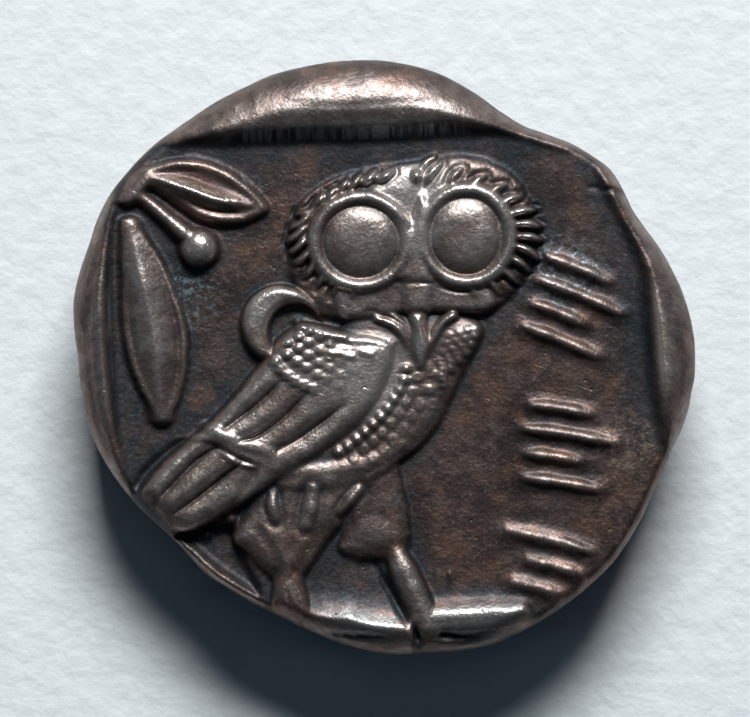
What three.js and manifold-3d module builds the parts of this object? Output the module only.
// An ancient silver tetradrachm, one struck piece of metal, lying with its owl side up.
// Millimetres, +Z up. The origin is the middle of the coin's box, on the surface it rests on.
// The owl stands in a sunk square on the upper side. The lower side bulges and carries a
// helmeted head, whose highest part is worn flat, and the coin rests on that flat.
import * as THREE from "three";
import { mergeVertices } from "three/addons/utils/BufferGeometryUtils.js";
import Module from "manifold-3d";

// ---- Driving dimensions ----

// Radius of the hand-made blank every 10 degrees, anticlockwise from +X.
const BLANK_RADII = [
  12.5, 12.35, 12.03, 11.66, 11.87, 11.45, 10.93, 11.25, 11.77, 12.05, 12.18, 12.33,
  12.4, 12.5, 12.8, 12.95, 12.82, 12.78, 12.4, 12.32, 12.08, 11.65, 11.22, 11.3,
  11.2, 11.25, 11.57, 11.9, 12.03, 12.27, 12.28, 12.27, 12.28, 12.12, 12.08, 12.37,
];
const BLANK_STEPS = 72;
// Half section of the blank: share of the radius, and height.
const BLANK_SECTION = [
  [0, 0.8],
  [0.5, 0.95],
  [0.78, 1.3],
  [0.91, 1.85],
  [0.975, 2.6],
  [1, 3.7],
  [0.982, 4.4],
  [0.95, 4.95],
  [0.905, 5.35],
  [0.86, 5.45],
  [0, 5.45],
];

// The sunk square, struck a little off centre, so that it runs off the edge at the lower right.
const FIELD_Z = 4.5;
const SQUARE_CORNERS = [
  [-10.6, -10.3],
  [11.9, -10.3],
  [8.6, 8.75],
  [-10.6, 8.35],
];
const WALL_RUN = 1.2;
const WALL_RISE = 1.0;

// How deep the relief's hidden foot reaches into the blank.
const FOOT_DEPTH = 0.8;

// Owl's head.
const HEAD = { x: 1.2, y: 4.85, halfWidth: 5.1, halfHeight: 3.5, rise: 0.62 };
const EYES = [
  { x: -0.9, y: 4.7 },
  { x: 3.15, y: 4.88 },
];
const EYEBALL = { radius: 1.5, rise: 1.0 };
const EYE_RING = { radius: 1.87, thickness: 0.27, rise: 0.58 };
const RUFF = { feathers: 21, from: -42, to: 226, length: 1.05, width: 0.46, slant: 24 };

// Rows of worn strokes: middle, lean in degrees and the length of each stroke.
const MARK = { width: 0.5, rise: 0.42, pitch: 0.98, stagger: 0.25 };
const MARK_ROWS = [
  { x: 7.4, y: 2.1, lean: -22, lengths: [2.7, 3.6, 2.1, 3.1] },
  { x: 7.1, y: -3.6, lean: -9, lengths: [2.3, 3.5, 2.0, 2.9] },
  { x: 6.6, y: -8.4, lean: -14, lengths: [3.4, 2.2, 1.9] },
];

// Lower side: the height of its field, the helmet's bowl and the plumes of its crest.
const UNDER_Z = 1.05;
const HELMET = { x: -0.8, y: 3.1, halfWidth: 5.4, halfHeight: 5.1, rise: 1.2 };
const CREST = { inner: 5.5, outer: 6.9, width: 0.8, rise: 0.7, from: 30, to: 160, plumes: 11 };

const SILVER = { color: 0x75685f, roughness: 0.42, metalness: 0.85 };

// ---- Joining and cutting ----

const wasm = await Module();
wasm.setup();

// Merges a geometry's shared corners and drops the triangles that vanish.
function welded(geometry, tolerance) {
  const bare = geometry.clone();
  bare.deleteAttribute("normal");
  bare.deleteAttribute("uv");
  const merged = mergeVertices(bare, tolerance);
  const corners = merged.index.array;
  const kept = [];
  for (let i = 0; i < corners.length; i += 3) {
    const [a, b, c] = corners.slice(i, i + 3);
    if (a !== b && b !== c && c !== a) {
      kept.push(a, b, c);
    }
  }
  merged.setIndex(kept);
  return merged;
}

function solidOf(geometry) {
  const closed = welded(geometry, 1e-4);
  return new wasm.Manifold(
    new wasm.Mesh({
      numProp: 3,
      vertProperties: closed.attributes.position.array,
      triVerts: new Uint32Array(closed.index.array),
    }),
  );
}

function geometryOf(solid) {
  const mesh = solid.getMesh();
  const geometry = new THREE.BufferGeometry();
  geometry.setAttribute("position", new THREE.BufferAttribute(mesh.vertProperties, 3));
  geometry.setIndex(new THREE.BufferAttribute(mesh.triVerts, 1));
  return geometry;
}

function joined(solids) {
  return solids.reduce((sum, next) => sum.add(next));
}

// ---- Shapes that the relief is made of ----

const radians = THREE.MathUtils.degToRad;

// A dome: an ellipsoid with its middle at the field's height, turned about Z.
function dome({ x, y, halfWidth, halfHeight, rise, turn = 0, steps = 16, z = FIELD_Z }) {
  const geometry = new THREE.SphereGeometry(1, steps, Math.ceil(steps / 2));
  geometry.rotateX(Math.PI / 2);
  geometry.scale(halfWidth, halfHeight, rise);
  geometry.rotateZ(radians(turn));
  geometry.translate(x, y, z);
  return solidOf(geometry);
}

// A round-ended ridge along straight legs between points, also used to cut grooves.
function ridge(points, { width, rise, z = FIELD_Z }) {
  const legs = [];
  for (let i = 1; i < points.length; i += 1) {
    const [fromX, fromY] = points[i - 1];
    const [toX, toY] = points[i];
    const length = Math.hypot(toX - fromX, toY - fromY);
    const geometry = new THREE.CapsuleGeometry(width / 2, length, 2, 6);
    geometry.scale(1, 1, rise / (width / 2));
    geometry.rotateZ(Math.atan2(toY - fromY, toX - fromX) - Math.PI / 2);
    geometry.translate((fromX + toX) / 2, (fromY + toY) / 2, z);
    legs.push(solidOf(geometry));
  }
  return joined(legs);
}

// Turns a half section of [share, height] points into a solid whose plan follows a closed curve
// round a middle point: share 0 is the middle, and share 1 is on the curve.
function turned(section, plan, [middleX, middleY], steps) {
  const profile = section.map(([share, height]) => new THREE.Vector2(share, height));
  const geometry = new THREE.LatheGeometry(profile, steps);
  const places = geometry.attributes.position;
  for (let i = 0; i < places.count; i += 1) {
    const share = Math.hypot(places.getX(i), places.getZ(i));
    const turn = Math.atan2(places.getX(i), places.getZ(i)) / (2 * Math.PI);
    const edge = plan.getPoint((turn + 1) % 1);
    const x = middleX + (edge.x - middleX) * share;
    const y = middleY + (edge.y - middleY) * share;
    places.setXYZ(i, x, y, places.getY(i));
  }
  return solidOf(geometry);
}

// A smooth closed curve through points, run anticlockwise.
function closedCurve(points) {
  const places = points.map(([x, y]) => new THREE.Vector3(x, y, 0));
  if (THREE.ShapeUtils.isClockWise(places)) {
    places.reverse();
  }
  return new THREE.CatmullRomCurve3(places, true, "centripetal");
}

// A cushion with a smooth outline, standing up from a surface, or hanging down where side is -1.
// Its shoulder is the share of its width that is rounded off.
function cushion(outline, { rise, shoulder, z = FIELD_Z, side = 1, steps = 28 }) {
  const middle = [0, 1].map((axis) => {
    return outline.reduce((sum, point) => sum + point[axis], 0) / outline.length;
  });
  const section = [
    [0, -FOOT_DEPTH],
    [1, -FOOT_DEPTH],
    [1, 0],
    [1 - shoulder * 0.2, rise * 0.5],
    [1 - shoulder * 0.55, rise * 0.82],
    [1 - shoulder, rise * 0.95],
    [0, rise],
  ];
  const placed = section.map(([share, height]) => [share, z + side * height]);
  return turned(side > 0 ? placed : placed.reverse(), closedCurve(outline), middle, steps);
}

// A ring of round section lying flat.
function ring({ x, y, radius, thickness, z }) {
  const geometry = new THREE.TorusGeometry(radius, thickness, 6, 22);
  geometry.translate(x, y, z);
  return solidOf(geometry);
}

// ---- The blank and its sunk square ----

function blank() {
  const outline = BLANK_RADII.map((radius, i) => {
    const angle = (2 * Math.PI * i) / BLANK_RADII.length;
    return [radius * Math.cos(angle), radius * Math.sin(angle)];
  });
  return turned(BLANK_SECTION, closedCurve(outline), [0, 0], BLANK_STEPS);
}

function sunkSquare() {
  const corners = SQUARE_CORNERS.map(([x, y]) => new THREE.Vector2(x, y));
  const geometry = new THREE.ExtrudeGeometry(new THREE.Shape(corners), {
    depth: 1,
    bevelThickness: WALL_RISE,
    bevelSize: WALL_RUN,
    bevelSegments: 1,
  });
  geometry.translate(0, 0, FIELD_Z + WALL_RISE);
  return solidOf(geometry);
}

// ---- The owl ----

function head() {
  const parts = [dome({ ...HEAD, steps: 24 })];
  for (let i = 0; i < RUFF.feathers; i += 1) {
    const angle = RUFF.from + ((RUFF.to - RUFF.from) * i) / (RUFF.feathers - 1);
    parts.push(
      dome({
        x: HEAD.x + HEAD.halfWidth * 0.9 * Math.cos(radians(angle)),
        y: HEAD.y + HEAD.halfHeight * 0.86 * Math.sin(radians(angle)),
        halfWidth: RUFF.length / 2,
        halfHeight: RUFF.width / 2,
        rise: 0.62,
        turn: angle - RUFF.slant,
        steps: 6,
      }),
    );
  }
  for (const eye of EYES) {
    parts.push(ring({ ...eye, ...EYE_RING, z: FIELD_Z + EYE_RING.rise }));
    parts.push(
      dome({
        ...eye,
        halfWidth: EYEBALL.radius,
        halfHeight: EYEBALL.radius,
        rise: EYEBALL.rise,
      }),
    );
  }
  return joined(parts);
}

// The flat bridge between the eyes, the cheeks below them and the beak.
function face() {
  const bridge = cushion(
    [
      [0.8, 2.7],
      [1.75, 2.7],
      [1.45, 4.6],
      [1.9, 6.5],
      [1.2, 6.0],
      [0.55, 6.5],
      [1.0, 4.6],
    ],
    { rise: 0.72, shoulder: 0.15 },
  );
  const cheeks = cushion(
    [
      [-2.1, 1.5],
      [0.9, 1.6],
      [4.2, 1.75],
      [4.1, 2.7],
      [1.2, 2.95],
      [-2.1, 2.6],
    ],
    { rise: 0.72, shoulder: 0.4 },
  );
  const beak = cushion(
    [
      [0.9, 1.9],
      [1.6, 1.9],
      [2.1, 0.85],
      [1.45, -0.65],
      [0.95, 0.8],
    ],
    { rise: 0.85, shoulder: 0.3 },
  );
  return joined([bridge, cheeks, beak]);
}

function body() {
  const breast = cushion(
    [
      [-3.4, 1.4],
      [0.4, 1.9],
      [3.9, 1.5],
      [3.7, 0.1],
      [2.7, -1.9],
      [1.2, -3.7],
      [-1, -5.0],
      [-3.6, -5.3],
      [-5.2, -3],
    ],
    { rise: 0.45, shoulder: 0.8 },
  );
  const wing = cushion(
    [
      [0.5, 0.5],
      [0.1, -1.2],
      [-1.2, -3.1],
      [-4, -4.9],
      [-7.9, -7],
      [-9.8, -5.4],
      [-8.2, -3.5],
      [-6, -1.4],
      [-4.6, 0.3],
      [-1.8, 1.3],
    ],
    { rise: 0.62, shoulder: 0.4 },
  );
  const shoulder = dome({
    x: -2.1,
    y: -1.2,
    halfWidth: 3.1,
    halfHeight: 1.9,
    rise: 0.88,
    turn: 48,
    steps: 20,
  });
  const quills = dome({
    x: -4.9,
    y: -3.2,
    halfWidth: 4.4,
    halfHeight: 1.7,
    rise: 0.75,
    turn: 33,
  });
  return joined([breast, wing, shoulder, quills]);
}

// Long grooves between the wing's quills and the tail's feathers, each from the shoulder outwards.
function featherGrooves() {
  const grooves = [
    [
      [-4.1, -1.0],
      [-4.9, -1.8],
      [-6.5, -2.85],
    ],
    [
      [-3.0, -1.5],
      [-4.2, -2.6],
      [-5.8, -3.4],
    ],
    [
      [-1.6, -1.9],
      [-2.7, -2.7],
      [-4.4, -3.7],
    ],
    [
      [-6.75, -3.65],
      [-8, -4.7],
      [-9.3, -5.85],
    ],
    [
      [-5.7, -4.25],
      [-7, -5.05],
      [-8.5, -6.15],
    ],
  ];
  const groove = { width: 0.3, rise: 0.35, z: FIELD_Z + 0.78 };
  return joined(grooves.map((points) => ridge(points, groove)));
}

function wingTip() {
  return ridge(
    [
      [-6.95, -2.7],
      [-6.5, -3.2],
      [-5.3, -3.75],
      [-4.6, -4.2],
    ],
    { width: 0.5, rise: 0.85 },
  );
}

function legs() {
  return joined([
    dome({ x: -3.9, y: -6.5, halfWidth: 1.75, halfHeight: 2.6, rise: 0.62 }),
    dome({ x: -0.7, y: -6.5, halfWidth: 1.5, halfHeight: 1.9, rise: 0.55, turn: 20 }),
    ridge(
      [
        [-3.8, -8.3],
        [-3.9, -10.1],
      ],
      { width: 1.2, rise: 0.45 },
    ),
    ridge(
      [
        [-0.1, -7.8],
        [1.2, -10.3],
      ],
      { width: 1.2, rise: 0.5 },
    ),
  ]);
}

// ---- The olive sprig, the crescent and the worn marks ----

// A leaf between its base and tip, with a raised midrib.
function leaf([baseX, baseY], [tipX, tipY], width) {
  const length = Math.hypot(tipX - baseX, tipY - baseY);
  const along = [(tipX - baseX) / length, (tipY - baseY) / length];
  const point = (share, side) => [
    baseX + along[0] * length * share - along[1] * side,
    baseY + along[1] * length * share + along[0] * side,
  ];
  const half = width / 2;
  const outline = [
    point(0, 0),
    point(0.25, -half * 0.8),
    point(0.55, -half),
    point(0.85, -half * 0.6),
    point(1, 0),
    point(0.85, half * 0.6),
    point(0.55, half),
    point(0.25, half * 0.8),
  ];
  const blade = cushion(outline, { rise: 0.5, shoulder: 0.3 });
  const rib = ridge([point(0.06, 0), point(0.95, 0)], { width: 0.5, rise: 0.66 });
  return blade.add(rib);
}

function sprig() {
  return joined([
    leaf([-9.9, 7.3], [-4.75, 6.0], 2.3),
    leaf([-10.3, 5.6], [-8.8, -2.6], 2.7),
    dome({ x: -7.55, y: 4.35, halfWidth: 0.8, halfHeight: 0.8, rise: 0.85 }),
    ridge(
      [
        [-10.2, 6.8],
        [-8.0, 5.0],
      ],
      { width: 0.6, rise: 0.45 },
    ),
  ]);
}

// A crescent open to the right: a round dome with a smaller round taken out of it.
function crescent() {
  const outer = { x: -4.15, y: 1.35, halfWidth: 1.6, halfHeight: 1.6, rise: 0.6 };
  const inner = { x: -3.5, y: 1.35, halfWidth: 1.4, halfHeight: 1.4, rise: 2 };
  return dome(outer).subtract(dome(inner));
}

// Three short rows of raised strokes down the right side, stacked one below the other. They
// differ in length, lean the same way and spell nothing.
function wornMarks() {
  const strokes = [];
  for (const row of MARK_ROWS) {
    const lean = radians(row.lean);
    row.lengths.forEach((length, i) => {
      const down = (i - (row.lengths.length - 1) / 2) * MARK.pitch;
      const along = i % 2 === 0 ? -MARK.stagger : MARK.stagger;
      const point = (reach) => [
        row.x + (along + reach) * Math.cos(lean) + down * Math.sin(lean),
        row.y + (along + reach) * Math.sin(lean) - down * Math.cos(lean),
      ];
      strokes.push(ridge([point(-length / 2), point(length / 2)], MARK));
    });
  }
  return joined(strokes);
}

// ---- The lower side: a helmeted head facing -X, which faces right when seen from below ----

// A plain profile with its features at even thirds: hairline to brow, brow to nose, nose to chin.
function underFace() {
  const outline = [
    [-1.0, 3.0],
    [-3.5, 4.0],
    [-6.0, 2.6],
    [-6.2, 1.5],
    [-7.2, 0.2],
    [-6.35, -0.25],
    [-6.6, -0.9],
    [-6.3, -1.25],
    [-6.5, -1.65],
    [-6.1, -2.1],
    [-6.15, -3.0],
    [-4.8, -3.8],
    [-2.6, -3.0],
    [-1.2, -1.0],
  ];
  const form = { rise: HELMET.rise, shoulder: 0.45, z: UNDER_Z, side: -1, steps: 42 };
  return cushion(outline, form);
}

function underNeck() {
  const outline = [
    [-3.6, -2.2],
    [-1.6, 0.2],
    [2.2, 0.2],
    [3.4, -2.4],
    [3.2, -5.5],
    [3.5, -8.0],
    [0, -9.2],
    [-3.6, -8.2],
    [-2.9, -5.4],
  ];
  return cushion(outline, { rise: HELMET.rise, shoulder: 0.55, z: UNDER_Z, side: -1 });
}

// The helmet's bowl, its brim from the brow to the nape, and the upright plumes of its crest.
function helmet() {
  const brim = ridge(
    [
      [-6.1, 2.9],
      [-3.2, 2.5],
      [0.6, 0.4],
      [3.6, -0.8],
    ],
    { width: 0.9, rise: 1.0, z: UNDER_Z },
  );
  const parts = [dome({ ...HELMET, z: UNDER_Z, steps: 24 }), brim];
  for (let i = 0; i < CREST.plumes; i += 1) {
    const angle = radians(CREST.from + ((CREST.to - CREST.from) * i) / (CREST.plumes - 1));
    const ends = [CREST.inner, CREST.outer].map((radius) => [
      HELMET.x + radius * Math.cos(angle),
      HELMET.y + radius * Math.sin(angle),
    ]);
    parts.push(ridge(ends, { width: CREST.width, rise: CREST.rise, z: UNDER_Z }));
  }
  return joined(parts);
}

// Everything below the resting surface, which the wear has taken off.
function wornAway() {
  const geometry = new THREE.BoxGeometry(40, 40, 4);
  geometry.translate(0, 0, -2);
  return solidOf(geometry);
}

// ---- The coin ----

function coinSolid() {
  const struck = blank().subtract(sunkSquare());
  const owl = joined([body(), wingTip(), legs()]).subtract(featherGrooves());
  const upper = [owl, head(), face(), sprig(), crescent(), wornMarks()];
  const lower = [underFace(), underNeck(), helmet()];
  return joined([struck, ...upper, ...lower]).subtract(wornAway());
}

// Moves the solid's box to the middle of the frame and welds the slivers that cutting leaves.
function centred(solid) {
  const geometry = welded(geometryOf(solid), 4e-3);
  geometry.computeBoundingBox();
  const middle = geometry.boundingBox.getCenter(new THREE.Vector3());
  geometry.translate(-middle.x, -middle.y, 0);
  return geometry;
}

const coin = new THREE.Mesh(centred(coinSolid()), new THREE.MeshStandardMaterial(SILVER));
coin.name = "coin";

const group = new THREE.Group();
group.add(coin);

export default group;
